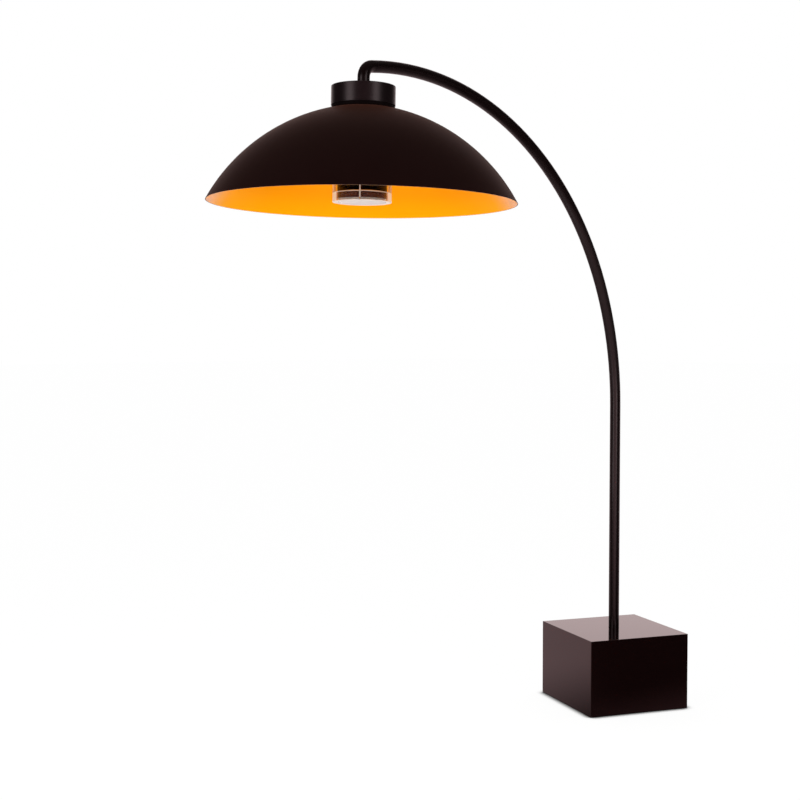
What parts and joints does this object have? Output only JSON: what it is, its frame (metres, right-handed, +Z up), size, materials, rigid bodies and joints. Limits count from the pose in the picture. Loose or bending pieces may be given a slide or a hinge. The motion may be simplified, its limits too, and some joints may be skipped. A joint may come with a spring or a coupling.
{
  "type": "patio heater",
  "caption": "Arc-lamp electric patio heater: weighted gloss block, turning mast with a long curved arm, and a dome shade with gold lining over a glass heater unit.",
  "frame": {"origin": "on the floor under the mast's axis; the claim uses the pressed field of the base plate's underside, 12 mm above it on the same axis", "axes": "+Z up along the mast, the arm reaches along -X at rest, +Y to the right-hand side seen with +X forward and +Z up"},
  "size_m": [2.0343, 0.9666, 2.2433],
  "materials": {
    "gloss_black_paint": "high gloss black coating",
    "satin_black_paint": "satin brown-black coating",
    "black_aluminium": "spun aluminium, satin brown-black coating",
    "gold_lining": "spun aluminium, satin gold",
    "pod_black": "satin black",
    "steel": "zinc plated or stainless steel",
    "hot_steel": "heat resistant sheet steel",
    "concrete": "cast concrete",
    "rubber_black": "black rubber",
    "seal": "pale silicone",
    "bronze": "plain bronze bearing",
    "nylon_black": "moulded black nylon",
    "nylon_white": "moulded white",
    "ceramic_white": "unglazed steatite",
    "fibre": "ceramic fibre board",
    "clear_glass": "clear heat resistant glass",
    "frosted_glass": "frosted glass",
    "ring_lamp": "amber quartz ring lamp",
    "led": "phosphor coated light sources"
  },
  "bodies": {
    "base": {"base_cover": "gloss_black_paint", "base_plate": "steel", "ballast_lower": "concrete", "ballast_middle": "concrete", "ballast_upper": "concrete", "levelling_feet": "rubber_black", "foot_studs": "steel", "foot_lock_nuts": "steel", "mast_socket": "steel", "socket_bolts": "steel", "lower_bush": "bronze", "upper_bush": "bronze", "thrust_washer": "nylon_black", "stop_screw": "steel", "mains_gland": "nylon_black", "gland_nut": "nylon_black", "base_lead": "rubber_black"},
    "mast": {"mast_foot": "steel", "mast_tube": "satin_black_paint", "joint_sleeve": "steel", "joint_screws": "steel", "arc_tube": "satin_black_paint", "arm_lead": "rubber_black", "hanger_hub": "steel", "hub_screws": "steel", "hub_bolts": "steel", "neck_ring": "pod_black", "head_cap": "black_aluminium", "cap_screws": "steel", "mounting_plate": "steel", "terminal_block": "nylon_white", "control_module": "nylon_black", "dome_shell": "black_aluminium", "insulation_disc": "fibre", "reflector": "gold_lining", "dome_bolts": "steel", "heater_housing": "hot_steel", "core_tube": "steel", "core_bolts": "steel", "core_nut": "steel", "lower_spider": "ceramic_white", "upper_spider": "ceramic_white", "lower_heating_ring": "ring_lamp", "upper_heating_ring": "ring_lamp", "ring_caps": "ceramic_white", "heat_shield": "hot_steel", "lamp_pod": "pod_black", "pod_trim": "steel", "pod_cover": "pod_black", "pod_screws": "steel", "led_board": "nylon_white", "led_chips": "led", "led_bezel": "steel", "glass_gasket": "seal", "glass_cylinder": "clear_glass", "base_gasket": "seal", "glass_base": "clear_glass", "lens": "frosted_glass", "tie_rods": "steel", "rod_nuts": "steel"}
  },
  "joints": [
    {"name": "mast_swivel", "type": "hinge", "parent": "base", "child": "mast", "pos_m": [0, 0, 0], "axis": [0, 0, 1], "range_deg": [-179, 131]}
  ]
}
